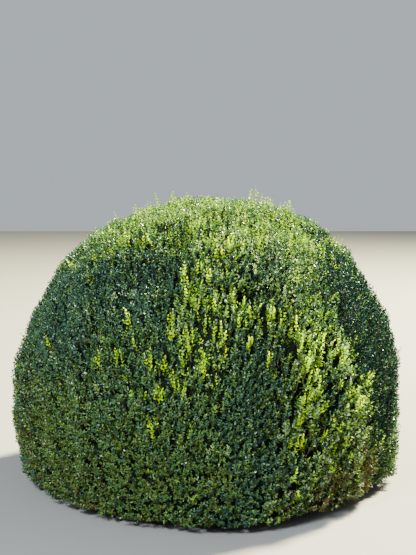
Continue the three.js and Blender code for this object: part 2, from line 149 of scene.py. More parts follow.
# Where the plant differs over its surface, and where light and shade are painted into its tones: places
# as azimuth in degrees, rise, spread and amount
places = {
    "loose": [  # open growth, where new shoots stand out
        (-90, 1.0, 0.55, 0.5), (-98, 0.66, 0.12, 0.75), (-92, 0.55, 0.12, 0.75), (-87, 0.45, 0.11, 0.7),
        (-92, 0.33, 0.1, 0.65), (-89, 0.23, 0.1, 0.65), (-104, 0.28, 0.14, 0.45), (-112, 0.3, 0.12, 0.3),
        (-72, 0.46, 0.12, 0.7), (-64, 0.36, 0.14, 0.75), (-57, 0.28, 0.14, 0.8), (-51, 0.12, 0.16, 0.8),
        (-62, 0.1, 0.16, 0.75), (-56, -0.06, 0.17, 0.75), (-66, -0.08, 0.1, 0.6),
        (-50, -0.18, 0.16, 0.75), (-67, -0.27, 0.09, 0.5), (-120, 0.05, 0.3, 0.12),
        (-95, -0.1, 0.4, 0.08), (20, 0.3, 0.3, 0.7), (38, 0.1, 0.22, 0.6), (82, 0.45, 0.3, 0.65),
        (95, 0.1, 0.2, 0.45), (140, 0.2, 0.26, 0.55), (165, 0.45, 0.2, 0.45)],
    "light": [  # lighter and yellower green: partly fresher growth, partly painted sunlight on the top and the sunlit right side
        (-136, 0.84, 0.17, 1.0), (-116, 0.9, 0.16, 0.9), (-86, 0.9, 0.3, 0.9), (-51, 0.86, 0.26, 0.9),
        (-83, 0.75, 0.16, 0.9), (-90, 1.0, 0.5, 0.7), (-30, 0.92, 0.2, 0.8), (90, 0.95, 0.5, 0.7),
        (-90, 0.5, 0.14, 0.15), (-89, 0.26, 0.12, 0.1), (-68, 0.5, 0.14, 0.25), (-60, 0.28, 0.2, 0.5),
        (-55, 0.02, 0.22, 0.6), (-50, -0.14, 0.14, 0.4), (30, 0.25, 0.34, 0.5), (120, 0.3, 0.34, 0.5)],
    "bright": [  # many young and pale leaves: young growth, lit up as painted sunlight on the sprigs, with pale leaves as painted glints
        (-94, 0.6, 0.06, 1.1), (-93, 0.4, 0.09, 0.5), (-90, 0.31, 0.04, 0.7), (-81, 0.55, 0.05, 0.8),
        (-74, 0.52, 0.055, 1.1), (-65, 0.42, 0.045, 1.3), (-57, 0.37, 0.07, 1.5), (-59, 0.28, 0.07, 1.5),
        (-49, 0.31, 0.07, 1.3), (-61, 0.17, 0.06, 1.6), (-59, 0.09, 0.055, 1.3), (-45, 0.07, 0.07, 1.1),
        (-52, -0.02, 0.06, 0.6), (-52, -0.14, 0.05, 1.0), (-83, 0.79, 0.08, 0.5), (-34, 0.79, 0.05, 0.6),
        (60, 0.2, 0.16, 0.3), (150, 0.3, 0.16, 0.3)],
    "paintedShade": [  # painted shade: bluish and dark tones where shade falls, in hollows, under ridges and on the upper left
        (-66, 0.69, 0.09, 1.6), (-77, 0.71, 0.05, 0.8), (-66, 0.54, 0.05, 1.3), (-52, 0.19, 0.065, 2.0),
        (-80, 0.43, 0.07, 2.0), (-101, 0.4, 0.04, 1.0), (-68, 0.31, 0.06, 1.7), (-60, 0.69, 0.06, 1.2),
        (-67, 0.21, 0.055, 1.8), (-68, 0.11, 0.08, 1.4), (-67, -0.23, 0.07, 1.3), (-76, -0.2, 0.07, 0.9),
        (-84, -0.34, 0.08, 0.6), (-109, 0.72, 0.11, 1.2), (-104, 0.66, 0.08, 1.0),
        (-112, 0.58, 0.12, 0.9), (-130, 0.64, 0.16, 1.0), (-148, 0.62, 0.16, 1.0),
        (-143, 0.46, 0.22, 0.9), (-168, 0.45, 0.2, 0.9), (-172, 0.2, 0.2, 0.7), (-77, 0.46, 0.08, 0.8),
        (-75, 0.35, 0.1, 0.9), (-75, 0.2, 0.11, 1.0), (-75, 0.04, 0.12, 0.9), (-74, -0.12, 0.12, 0.8),
        (170, 0.0, 0.4, 0.6), (60, 0.1, 0.3, 0.6), (-2, 0.4, 0.34, 0.7)],
    "castShadow": [  # painted shadow: the darkest tones, a cast shadow painted on the right rim in the camera's view
        (-27, 0.73, 0.06, 1.6), (-30, 0.69, 0.09, 2.0), (-35, 0.63, 0.12, 2.0), (-34, 0.53, 0.12, 2.0),
        (-34, 0.43, 0.12, 2.0), (-34, 0.33, 0.12, 2.0), (-32, 0.23, 0.11, 2.0), (-30, 0.13, 0.1, 1.8),
        (-27, 0.03, 0.1, 1.4), (-25, -0.08, 0.1, 1.0), (-26, -0.25, 0.1, 0.6), (-21, 0.6, 0.16, 1.5),
        (-20, 0.42, 0.16, 1.5), (-20, 0.24, 0.15, 1.2), (-18, 0.06, 0.15, 0.8), (-8, 0.55, 0.34, 0.12),
        (0, 0.3, 0.42, 0.1), (-14, 0.8, 0.16, 0.25)],
    "glossy": [  # larger leaves with more shine and more dark between them: thinned leaves, and many in the deep tone as painted shade, with pale leaves as painted glints
        (-79, 0.52, 0.06, 1.6), (-83, 0.46, 0.12, 0.5), (-92, 0.3, 0.1, 0.4), (-72, 0.5, 0.1, 0.5),
        (-60, 0.3, 0.12, 0.6), (-60, 0.06, 0.16, 0.8), (-50, -0.05, 0.16, 1.0), (-52, -0.2, 0.15, 1.0),
        (-62, -0.24, 0.12, 0.9), (-45, 0.12, 0.1, 0.5), (-70, 0.7, 0.18, 0.4), (-50, 0.72, 0.16, 0.4),
        (60, 0.4, 0.4, 0.4)],
    "olive": [  # duller growth near the foot
        (-145, -0.05, 0.22, 0.8), (-140, -0.22, 0.24, 1.0), (-124, -0.26, 0.2, 0.7),
        (-108, -0.22, 0.22, 0.5), (-92, -0.18, 0.2, 0.3), (-50, -0.3, 0.1, 0.3), (-132, 0.08, 0.2, 0.4),
        (120, -0.25, 0.35, 0.7), (10, -0.3, 0.25, 0.6)],
    "brown": [  # thin growth with withered leaves
        (-48, -0.33, 0.1, 1.8), (-55, -0.36, 0.09, 1.8), (-37, -0.31, 0.1, 1.8), (-64, -0.35, 0.08, 0.6),
        (-50, -0.26, 0.07, 0.6), (-41, -0.24, 0.08, 0.7), (-30, -0.27, 0.08, 0.9), (60, -0.38, 0.18, 0.3),
        (-130, -0.38, 0.14, 0.14), (-158, -0.14, 0.14, 0.18)],
    "open": [  # bare gaps, where the amount is the share of missing sprays and shoots
        (-79, 0.6, 0.034, 0.98), (-75, 0.588, 0.034, 0.98), (-71, 0.58, 0.026, 0.9),
        (-84, 0.612, 0.024, 0.9), (-69, 0.31, 0.03, 0.6), (-63, 0.21, 0.032, 0.85),
        (-55, 0.14, 0.026, 0.75), (-60, -0.01, 0.032, 0.85), (-61, -0.11, 0.034, 0.85),
        (-57, -0.18, 0.032, 0.8), (-47, -0.05, 0.028, 0.75), (-52, -0.27, 0.05, 0.65),
        (-75, 0.01, 0.03, 0.6), (-125, 0.42, 0.03, 0.6), (-119, 0.6, 0.026, 0.6), (-168, 0.87, 0.06, 0.5),
        (40, 0.5, 0.06, 0.7), (130, 0.35, 0.04, 0.7)],
    "dent": [  # hollows in the clipped surface, as shares of its distance from the waist
        (-77, 0.61, 0.07, 0.05), (-75, 0.46, 0.07, 0.026), (-74, 0.37, 0.07, 0.026),
        (-72, 0.26, 0.07, 0.026), (-60, -0.05, 0.07, 0.022), (-63, 0.21, 0.05, 0.022),
        (-72, 0.12, 0.08, 0.028), (-72, -0.02, 0.08, 0.028), (-68, -0.14, 0.07, 0.024),
        (-107, 0.7, 0.09, 0.026), (-168, 0.87, 0.09, 0.025), (-48, -0.34, 0.16, 0.034),
        (-37, -0.38, 0.1, 0.042), (-26, -0.34, 0.12, 0.05), (-21, -0.2, 0.12, 0.026),
        (40, 0.5, 0.12, 0.04), (100, 0.28, 0.12, 0.03), (-22, 0.79, 0.15, 0.026),
        (-20, 0.67, 0.16, 0.036), (-20, 0.52, 0.16, 0.032), (-20, 0.38, 0.14, 0.018)],
}


def amountAt(ways, kind):
    total = np.zeros(ways.shape[:-1])
    for azimuth, rise, spread, amount in places[kind]:
        apart = np.arccos(np.clip(ways @ directions(math.radians(azimuth), rise), -1, 1))
        total = np.maximum(total, amount * np.exp(-np.square(apart / spread)))
    return np.minimum(total, 1)


class Nodes:  # builds one material's nodes
    def __init__(self, name):
        self.material = bpy.data.materials.new(name)
        self.material.use_nodes = True
        self.tree = self.material.node_tree
        self.tree.nodes.clear()

    def node(self, kind, settings=None, output=0, **sockets):  # a socket is named, or _ and its number
        made = self.tree.nodes.new(kind)
        for name, value in (settings or {}).items():
            if name == "stops":
                ramp = made.color_ramp
                while len(ramp.elements) < len(value):
                    ramp.elements.new(0.5)
                for element, (place, colour) in zip(ramp.elements, value):
                    element.position = place
                    element.color = (*colour, 1)
            else:
                setattr(made, name, value)
        for name, value in sockets.items():
            self.feed(made.inputs[int(name[1:]) if name[0] == "_" else name], value)
        return Socket(self, made.outputs[output]) if made.outputs else None

    def feed(self, socket, value):
        if isinstance(value, Socket):
            self.tree.links.new(value.socket, socket)
        else:
            socket.default_value = value

    def finish(self, shader):
        self.node("ShaderNodeOutputMaterial", Surface=shader)
        return self.material


class Socket:  # a node's output, so that maths with it can be written out
    def __init__(self, nodes, socket):
        self.nodes = nodes
        self.socket = socket

    def maths(self, operation, first, second):
        return self.nodes.node("ShaderNodeMath", {"operation": operation}, _0=first, _1=second)

    def __add__(self, other):
        return self.maths("ADD", self, other)

    def __mul__(self, other):
        return self.maths("MULTIPLY", self, other)

    def __sub__(self, other):
        return self.maths("SUBTRACT", self, other)

    def __rsub__(self, other):
        return self.maths("SUBTRACT", other, self)

    __radd__ = __add__
    __rmul__ = __mul__


def noise(nodes, scale, detail, stretch=(1, 1, 1)):
    place = nodes.node("ShaderNodeTexCoord", output="Object")
    place = nodes.node("ShaderNodeMapping", Vector=place, Scale=stretch)
    return nodes.node("ShaderNodeTexNoise", Vector=place, Scale=scale, Detail=detail)


def ramp(nodes, value, stops):
    return nodes.node("ShaderNodeValToRGB", {"stops": stops}, Fac=value)


def bump(nodes, height, strength, distance):
    return nodes.node("ShaderNodeBump", Height=height, Strength=strength, Distance=distance)


# Leaves: plain colours, dealt out by spray, shoot and leaf. Each has its base colour, the colour and
# share of the light that comes through, its roughness and its shine
# Painted light among them: lime and gold are lit up beyond the young shoots' own yellow-green as painted
# sunlight, straw is their duller copy, and pale is partly painted glints
leafTones = {
    "deep": ((0.011, 0.032, 0.014), (0.03, 0.10, 0.02), 0.10, 0.40, 0.30),
    # teal: painted shadow, the darkest tone, used only where the cast shadow is painted
    "teal": ((0.003, 0.021, 0.018), (0.01, 0.04, 0.02), 0.04, 0.60, 0.08),
    "shady": ((0.024, 0.070, 0.048), (0.03, 0.11, 0.04), 0.10, 0.36, 0.32),
    "blue": ((0.046, 0.112, 0.062), (0.06, 0.18, 0.04), 0.12, 0.28, 0.42),
    "mid": ((0.068, 0.146, 0.034), (0.10, 0.25, 0.02), 0.14, 0.28, 0.38),
    "fresh": ((0.165, 0.300, 0.020), (0.26, 0.50, 0.012), 0.22, 0.34, 0.30),
    "lime": ((0.360, 0.640, 0.0003), (0.52, 0.86, 0.0003), 0.38, 0.50, 0.05),
    "gold": ((0.600, 0.800, 0.0003), (0.78, 0.96, 0.0003), 0.42, 0.55, 0.05),
    "straw": ((0.205, 0.315, 0.0002), (0.33, 0.50, 0.0002), 0.36, 0.60, 0.02),
    "pale": ((0.240, 0.340, 0.150), (0.30, 0.46, 0.14), 0.22, 0.26, 0.80),
    "gloss": ((0.060, 0.118, 0.042), (0.08, 0.18, 0.04), 0.08, 0.23, 1.00),
    "olive": ((0.078, 0.112, 0.018), (0.12, 0.18, 0.02), 0.14, 0.38, 0.38),
    "bronze": ((0.086, 0.054, 0.017), (0.14, 0.08, 0.02), 0.12, 0.45, 0.24),
}
toneOdds = {  # in the kinds of place above, and on new shoots
    "plain": {"deep": 1.2, "shady": 0.8, "blue": 3.6, "mid": 4.2, "fresh": 0.6, "pale": 0.5},
    "light": {"deep": 1.6, "mid": 7, "fresh": 7, "gloss": 1, "straw": 5},
    "bright": {"deep": 12, "blue": 16, "mid": 4, "fresh": 14, "lime": 36, "pale": 34, "gloss": 8},
    "glossy": {"gloss": 28, "deep": 36, "pale": 24, "fresh": 7, "straw": 1},
    "paintedShade": {"deep": 7, "shady": 22, "blue": 9, "mid": 1, "pale": 1.6},
    "castShadow": {"teal": 90, "shady": 9},
    "olive": {"olive": 20, "mid": 8},
    "brown": {"bronze": 26, "olive": 16},
    # painted sunlight: new holds lit-up tones for shoots turned from the key lamp, newSunny their duller
    # copies for shoots facing it
    "new": {"fresh": 8, "lime": 84, "gold": 96, "pale": 12},
    "newSunny": {"fresh": 44, "straw": 120, "pale": 10},
}


def leafMaterial(name, base, through, share, roughness, shine):
    nodes = Nodes("leaf_" + name)
    blade = nodes.node("ShaderNodeBsdfPrincipled", **{
        "Base Color": (*base, 1), "Roughness": roughness, "Specular IOR Level": shine})
    glow = nodes.node("ShaderNodeBsdfTranslucent", Color=(*through, 1))
    return nodes.finish(nodes.node("ShaderNodeMixShader", _0=share, _1=blade, _2=glow))


barkLook = {
    "coarse": {"scale": 38, "detail": 6, "stretch": (1, 1, 0.35)},
    "fine": {"scale": 210, "detail": 5, "stretch": (1, 1, 0.5)},
    "mix": (0.7, 0.3),
    "colours": [
        (0.32, (0.060, 0.045, 0.030)), (0.50, (0.190, 0.150, 0.105)), (0.68, (0.340, 0.290, 0.215))],
    "roughness": 0.98,
    "smoother": 0.15,  # where it is light
    "relief": {"strength": 0.5, "distance": 0.004},
}
youngBarkLook = {"colour": (0.085, 0.100, 0.030), "roughness": 0.7}


def barkMaterial():
    nodes = Nodes("bark")
    coarse, fine = (noise(nodes, **barkLook[name]) for name in ("coarse", "fine"))
    mixed = coarse * barkLook["mix"][0] + fine * barkLook["mix"][1]
    return nodes.finish(nodes.node("ShaderNodeBsdfPrincipled", **{
        "Base Color": ramp(nodes, mixed, barkLook["colours"]),
        "Roughness": barkLook["roughness"] - mixed * barkLook["smoother"],
        "Normal": bump(nodes, mixed, **barkLook["relief"])}))


def plainMaterial(name, colour, roughness):
    nodes = Nodes(name)
    return nodes.finish(nodes.node("ShaderNodeBsdfPrincipled", **{
        "Base Color": (*colour, 1), "Roughness": roughness}))


shadedThatchLook = {
    "litter": {"scale": 110, "detail": 6},
    "patches": {"scale": 7, "detail": 3},
    "mix": (0.65, 0.35),
    # near black: the litter's own dark colour, darkened further as painted shade of the inside
    "colours": [
        (0.36, (0.001, 0.002, 0.001)), (0.54, (0.004, 0.008, 0.003)), (0.72, (0.020, 0.028, 0.010))],
    "roughness": 0.95,
    "shine": 0.1,
    "relief": {"strength": 0.8, "distance": 0.02},
}


def shadedThatchMaterial():
    nodes = Nodes("shadedThatch")
    litter, patches = (noise(nodes, **shadedThatchLook[name]) for name in ("litter", "patches"))
    mixed = litter * shadedThatchLook["mix"][0] + patches * shadedThatchLook["mix"][1]
    return nodes.finish(nodes.node("ShaderNodeBsdfPrincipled", **{
        "Base Color": ramp(nodes, mixed, shadedThatchLook["colours"]),
        "Roughness": shadedThatchLook["roughness"], "Specular IOR Level": shadedThatchLook["shine"],
        "Normal": bump(nodes, litter, **shadedThatchLook["relief"])}))


sunny = {"way": (0.54, 0.41, 0.74), "gain": 2.5}  # the key lamp's way: new shoots that face it get duller tones, and those turned from it lit-up tones as painted sunlight
olderAndShadedTones = {  # what a leaf's tone turns to lower on its shoot: older leaves, and painted shade deeper in the growth
    "gold": "lime", "lime": "fresh", "straw": "fresh", "pale": "fresh", "fresh": "mid", "mid": "deep",
    "blue": "deep", "gloss": "deep", "shady": "deep"}
toneNames = list(leafTones)
tone = {name: i for i, name in enumerate(toneNames)}
leafMaterials = [leafMaterial(name, *look) for name, look in leafTones.items()]
bark = barkMaterial()
youngBark = plainMaterial("young_bark", **youngBarkLook)
shadedThatch = shadedThatchMaterial()
print("materials:", len(bpy.data.materials))


# Meshes from arrays, for what there are thousands of
def meshPiece(name, points, faceSets, materials, picked=None):  # a set's faces are of one kind
    mesh = bpy.data.meshes.new(name)
    corners = np.concatenate([np.full(len(faces), faces.shape[1]) for faces in faceSets])
    mesh.vertices.add(len(points))
    mesh.vertices.foreach_set("co", points.astype(np.float32).ravel())
    mesh.loops.add(corners.sum())
    order = np.concatenate([faces.ravel() for faces in faceSets])
    mesh.loops.foreach_set("vertex_index", order.astype(np.int32))
    mesh.polygons.add(len(corners))
    mesh.polygons.foreach_set("loop_start", (np.cumsum(corners) - corners).astype(np.int32))
    for material in materials:
        mesh.materials.append(material)
    if picked is not None:
        mesh.polygons.foreach_set("material_index", picked.astype(np.int32))
    mesh.update(calc_edges=True)
    mesh.shade_flat()
    piece = bpy.data.objects.new(name, mesh)
    bpy.context.collection.objects.link(piece)
    return piece


def framesOf(along):  # two directions square to each one given
    helper = np.where(np.abs(along[..., 2:3]) < 0.8, up, np.array([1.0, 0.0, 0.0]))
    side = unit(np.cross(along, helper))
    return side, np.cross(side, along)


def circlesOf(side, across, sides):  # of radius 1, one for each pair of directions
    turns = np.arange(sides) * 2 * math.pi / sides
    return side[:, None] * np.cos(turns)[None, :, None] + across[:, None] * np.sin(turns)[None, :, None]


def tubes(paths, radii, sides):  # paths is (count, rings, 3) and radii (count, rings)
    count, rings, _ = paths.shape
    side, across = framesOf(unit(paths[:, -1] - paths[:, 0]))
    circle = circlesOf(side, across, sides)
    points = paths[:, :, None] + circle[:, None] * radii[:, :, None, None]
    first = (np.arange(count) * rings * sides)[:, None, None]
    ring = (np.arange(rings - 1) * sides)[None, :, None]
    i = np.arange(sides)[None, None, :]
    j = (i + 1) % sides
    low = first + ring
    walls = np.stack([low + i, low + sides + i, low + sides + j, low + j], -1)
    foot = first[:, 0] + np.arange(sides)
    tip = foot[:, ::-1] + (rings - 1) * sides
    return points.reshape(-1, 3), [walls.reshape(-1, 4), foot, tip]


def spikes(feet, tips, radius):  # three-sided twigs that end in a point
    side, across = framesOf(unit(tips - feet))
    circle = circlesOf(side, across, 3)
    points = np.concatenate([feet[:, None] + circle * radius, tips[:, None]], 1)
    faces = np.array([(0, 3, 1), (1, 3, 2), (2, 3, 0), (0, 1, 2)])
    faces = faces + (np.arange(len(feet)) * 4)[:, None, None]
    return points.reshape(-1, 3), [faces.reshape(-1, 3)]


def joined(parts):  # several (points, face sets) as one
    points = []
    faceSets = []
    start = 0
    for p, sets in parts:
        points.append(p)
        faceSets += [faces + start for faces in sets]
        start += len(p)
    return np.concatenate(points), faceSets


def bendPaths(starts, ends, rng, rings, sag):  # gently bent lines from start to end
    t = np.linspace(0, 1, rings)[None, :, None]
    length = np.linalg.norm(ends - starts, axis=-1)[:, None, None]
    away = unit(rng.normal(size=starts.shape))[:, None] * length * sag
    return starts[:, None] * (1 - t) + ends[:, None] * t + away * (4 * t * (1 - t))


# The wood: stem, root shoulders, boughs and the stems of the masses
wood = {
    "stemHeight": 0.225,
    "stemBelow": 0.08,  # made past the cut, and taken off there
    "stemRings": 7,
    "stemRadius": (0.074, 0.060),
    "stemLean": (0.010, -0.006),
    "rootCount": 5,
    "rootTurn": 0.35,  # how far the shoulders are out of even turns
    "rootReach": 0.088,
    "rootRadius": (0.040, 0.020),
    "rootRise": 0.075,
    "rootLine": ((0.02, 0.0, 1.7), (0.0, 0.55, 0.6)),  # out, and shares of the reach and of the rise
    "rootBelow": 0.035,
    "boughRadius": (0.029, 0.019),
    "boughRoot": (0.036, 0.120),
    "boughBend": (0.125, 0.330),
    "boughTip": (0.400, 0.470),
    "boughSway": 0.14,
    "boughSteps": 9,
    "leaderRadius": (0.030, 0.021),
    "leaderHeights": (0.150, 0.225, 0.512, 0.800),
    "leaderSway": 0.034,
    "leaderSteps": 4,  # between two of its heights
    "massStemLength": 0.190,
    "massStemRadius": 0.013,
    "forkShare": 0.45,
    "highRootShare": 0.2,
    "seed": 20,
    "voxel": 0.0055,
    "smoothing": 4,
    "plates": {"size": 0.016, "depth": 0.0035},
    "ridges": {"size": 0.045, "depth": 0.006},
}


def onLeg(azimuth, out, height):
    return np.array([out * math.cos(azimuth), out * math.sin(azimuth), height])


def boughLine(number):  # the same lines as in the part's source
    stemTop = np.array([*wood["stemLean"], 0.0])
    t = np.linspace(0, 1, wood["boughSteps"])[:, None]
    if number == topMass:
        heights = wood["leaderHeights"]
        sway = np.array([wood["leaderSway"], wood["leaderSway"] / 2, 0.0])
        knots = [stemTop + up * heights[0], stemTop + up * heights[1], sway + up * heights[2]]
        knots.append(leanAt(np.array([heights[3]]))[0] + up * heights[3])
        before = [2 * knots[0] - knots[1]] + knots + [2 * knots[3] - knots[2]]
        line = []
        for a, b, c, d in zip(before, before[1:], before[2:], before[3:]):
            s = np.linspace(0, 1, wood["leaderSteps"], endpoint=False)[:, None]
            bent = (2 * a - 5 * b + 4 * c - d) * s**2 + (3 * b - a - 3 * c + d) * s**3
            line.append(0.5 * (2 * b + (c - a) * s + bent))
        return np.concatenate(line + [knots[3][None]])
    numbers = dice(wood["seed"] + number)
    azimuth = 2 * math.pi * number / sideCount
    sways = [1 + wood["boughSway"] * (2 * next(numbers) - 1) for _ in range(3)]
    root = onLeg(azimuth, *wood["boughRoot"]) + stemTop
    bend = onLeg(azimuth, wood["boughBend"][0], wood["boughBend"][1] * sways[0])
    tip = onLeg(azimuth, wood["boughTip"][0] * sways[1], wood["boughTip"][1] * sways[2])
    return root * (1 - t) ** 2 + bend * 2 * t * (1 - t) + tip * t**2


def modify(piece, kind, **settings):  # a modifier is added, set and applied
    bpy.ops.object.modifier_add(type=kind)
    added = piece.modifiers[-1]
    for name, value in settings.items():
        setattr(added, name, value)
    bpy.ops.object.modifier_apply(modifier=added.name)


def growLimb(name, points, radii):  # a vertex is extruded along the line, and a skin put round it
    bpy.ops.mesh.primitive_plane_add(size=0.01, location=points[0])
    limb = bpy.context.object
    limb.name = name
    bpy.ops.object.transform_apply(location=True, rotation=False, scale=False)
    bpy.ops.object.mode_set(mode="EDIT")
    bpy.ops.mesh.merge(type="CENTER")
    for step in np.diff(points, axis=0):
        bpy.ops.mesh.extrude_vertices_move(TRANSFORM_OT_translate={"value": tuple(step)})
    bpy.ops.object.mode_set(mode="OBJECT")
    bpy.ops.object.modifier_add(type="SKIN")
    for vertex, radius in zip(limb.data.skin_vertices[0].data, radii):
        vertex.radius = (radius, radius)
    limb.modifiers["Skin"].use_smooth_shade = True
    bpy.ops.object.modifier_apply(modifier="Skin")
    modify(limb, "SUBSURF", levels=2, render_levels=2)
    return limb


def taper(pair, count):
    return pair[0] + (pair[1] - pair[0]) * np.linspace(0, 1, count)


def roughen(piece, name, size, depth):  # a cloudy relief
    pattern = bpy.data.textures.new(name, "CLOUDS")
    pattern.noise_scale = size
    modify(piece, "DISPLACE", texture=pattern, texture_coords="LOCAL", strength=depth, mid_level=0.5)


def massStemOf(number):  # where a mass's stem starts, and its direction
    line = boughLine(number)
    along = unit(line[-1] - line[-2])
    return line[-1], along


def growWood():
    limbs = []
    stemTop = np.array([*wood["stemLean"], wood["stemHeight"]])
    t = np.linspace(0, 1, wood["stemRings"])[:, None]
    below = wood["stemBelow"]
    stemLine = stemTop * np.array([1, 1, 0]) * t**2 + up * (wood["stemHeight"] + below) * t - up * below
    limbs.append(growLimb("stem_limb", stemLine, taper(wood["stemRadius"], wood["stemRings"])))
    for i in range(wood["rootCount"]):
        azimuth = 2 * math.pi * i / wood["rootCount"] + wood["rootTurn"] * math.sin(3 * i)
        rootLine = [onLeg(azimuth, out + wood["rootReach"] * share, wood["rootRise"] * rise)
                    for out, share, rise in wood["rootLine"]]
        rootLine.append(onLeg(azimuth, wood["rootReach"], -wood["rootBelow"]))
        limbs.append(growLimb(f"root_limb_{i}", np.array(rootLine),
                              taper(wood["rootRadius"], len(rootLine))))
    for number in range(len(massNames)):
        line = boughLine(number)
        radii = taper(wood["leaderRadius" if number == topMass else "boughRadius"], len(line))
        seat, along = massStemOf(number)
        line = np.concatenate([line, [seat + along * wood["massStemLength"] * s for s in (0.5, 1.0)]])
        end = wood["massStemRadius"]
        radii = np.concatenate([radii, [0.5 * (radii[-1] + end), end]])
        limbs.append(growLimb(f"bough_limb_{number}", line, radii))
    return limbs


def makeWood(limbs):  # joined, remeshed as one skin and given the bark's relief
    bpy.ops.object.select_all(action="DESELECT")
    for limb in limbs:
        limb.select_set(True)
    bpy.context.view_layer.objects.active = limbs[0]
    bpy.ops.object.join()
    piece = bpy.context.object
    piece.name = "wood"
    bpy.ops.object.transform_apply(location=True, rotation=True, scale=True)
    modify(piece, "REMESH", voxel_size=wood["voxel"])
    modify(piece, "SMOOTH", iterations=wood["smoothing"])
    roughen(piece, "ridges", **wood["ridges"])
    roughen(piece, "plates", **wood["plates"])
    bpy.ops.object.mode_set(mode="EDIT")
    bpy.ops.mesh.select_all(action="SELECT")
    bpy.ops.mesh.bisect(plane_co=(0, 0, 0), plane_no=(0, 0, 1), use_fill=True, clear_inner=True)
    bpy.ops.mesh.select_all(action="SELECT")
    bpy.ops.mesh.normals_make_consistent(inside=False)
    bpy.ops.object.mode_set(mode="OBJECT")
    bpy.ops.object.shade_smooth()
    piece.data.materials.clear()
    piece.data.materials.append(bark)
    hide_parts("stem", *[f"bough_{name}" for name in massNames])
    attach(piece, "root")
    print("wood:", len(piece.data.polygons), "faces")


makeWood(growWood())


# The branches inside: from the stems of the masses to the feet of the sprays, in two orders
branching = {
    "endCount": 32,  # the source's own branches
    "endShare": 0.845,
    "endRoom": 0.040,
    "endRadius": (0.010, 0.005),
    "endBend": {"rings": 6, "sag": 0.05},
    "endSides": 7,
    "bareRings": 2,  # no finer branch springs from these
    "nodeCount": 460,
    "nodeShare": 0.885,
    "nodeRadius": (0.0052, 0.0026),
    "nodeBend": {"rings": 4, "sag": 0.07},
    "nodeSides": 5,
    "nodeScatter": 0.012,
    "nodeGap": 0.3,  # none where gaps are wider open than this
    "footRadius": (0.0026, 0.0017),
    "seed": 31,
}


def roomIn(numbers, points):  # how far inside a mass's space each point lies
    fromWaist = points - up * ball["waist"]
    tilt = np.arccos(np.clip(unit(fromWaist)[..., 2], -1, 1))
    belowCap = np.linalg.norm(fromWaist, axis=-1) * np.sin(tilt - ball["capAngle"])
    turn = np.arctan2(points[..., 1], points[..., 0]) - 2 * math.pi * numbers / sideCount
    turn = np.abs((turn + math.pi) % (2 * math.pi) - math.pi)
    toSeam = np.linalg.norm(points[..., :2], axis=-1) * np.sin(math.pi / sideCount - turn)
    return np.where(numbers == topMass, -belowCap, np.minimum(belowCap, toSeam))


def nearest(points, masses, choices, choiceMasses):  # the nearest choice in each point's own mass
    picked = np.zeros(len(points), int)
    for number in range(len(massNames)):
        own = np.flatnonzero(choiceMasses == number)
        mine = np.flatnonzero(masses == number)
        apart = np.linalg.norm(points[mine][:, None] - choices[own][None], axis=-1)
        picked[mine] = own[np.argmin(apart, axis=1)]
    return picked


def tapered(paths, radii, sides):
    return tubes(paths, np.tile(taper(radii, paths.shape[1]), (len(paths), 1)), sides)


def growBranches(rng):
    ways = spots(branching["endCount"], ball["lowestRise"])
    ends = ballPoints(ways, branching["endShare"])
    masses = massOf(ends)
    kept = roomIn(masses, ends) > branching["endRoom"]
    ends, masses = ends[kept], masses[kept]
    starts = []
    for end, number in zip(ends, masses):
        seat, along = massStemOf(number)
        tip = seat + along * wood["massStemLength"]
        fork = seat + along * wood["massStemLength"] * wood["forkShare"]
        starts.append(tip + (fork - tip) * wood["highRootShare"] if end[2] > tip[2] else fork)
    first = bendPaths(np.array(starts), ends, rng, **branching["endBend"])
    parts = [tapered(first, branching["endRadius"], branching["endSides"])]
    outer = first[:, branching["bareRings"]:]
    along = outer.reshape(-1, 3)  # the next order springs from the outer parts of a branch
    alongMass = np.repeat(masses, outer.shape[1])

    ways = spots(branching["nodeCount"], ball["lowestRise"])
    nodes = ballPoints(ways[amountAt(ways, "open") < branching["nodeGap"]], branching["nodeShare"])
    nodes = nodes + rng.normal(size=nodes.shape) * branching["nodeScatter"]
    nodeMasses = massOf(nodes)
    roots = along[nearest(nodes, nodeMasses, along, alongMass)]
    second = bendPaths(roots, nodes, rng, **branching["nodeBend"])
    parts.append(tapered(second, branching["nodeRadius"], branching["nodeSides"]))
    points, faces = joined(parts)
    piece = meshPiece("branches", points, faces, [bark])
    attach(piece, "root")
    upper = second[:, 1:]
    return upper.reshape(-1, 3), np.repeat(nodeMasses, upper.shape[1])


rng = np.random.default_rng(branching["seed"])
springs, springMasses = growBranches(rng)
print("branches:", len(springs), "places for sprays")


# The thatch: the mat of old twigs and fallen leaves that lies close under the green, coloured near black
# as painted shade of the bush's inside
thatchMat = {
    "share": 0.945,  # of the way to the clipped surface
    "gap": 0.09,  # how much deeper it lies in a bare gap
    "tufts": {"size": 0.09, "depth": 0.030},
    "floor": 0.055,
    "thickness": 0.012,
    "fineness": 6,
}


def makeThatch():
    bpy.ops.mesh.primitive_ico_sphere_add(subdivisions=thatchMat["fineness"], radius=1)
    piece = bpy.context.object
    piece.name = "shadedThatch"
    ways = unit(np.array([v.co for v in piece.data.vertices]))
    share = thatchMat["share"] - amountAt(ways, "dent") - amountAt(ways, "open") * thatchMat["gap"]
    points = ballPoints(ways, share)
    piece.data.vertices.foreach_set("co", points.astype(np.float32).ravel())
    roughen(piece, "tufts", **thatchMat["tufts"])
    bpy.ops.object.mode_set(mode="EDIT")
    bpy.ops.mesh.select_all(action="SELECT")
    bpy.ops.mesh.bisect(plane_co=(0, 0, thatchMat["floor"]), plane_no=(0, 0, 1), clear_inner=True)
    bpy.ops.object.mode_set(mode="OBJECT")
    modify(piece, "SOLIDIFY", thickness=thatchMat["thickness"])
    piece.data.materials.append(shadedThatch)
    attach(piece, "root")
    print("thatch:", len(piece.data.polygons), "faces")


makeThatch()


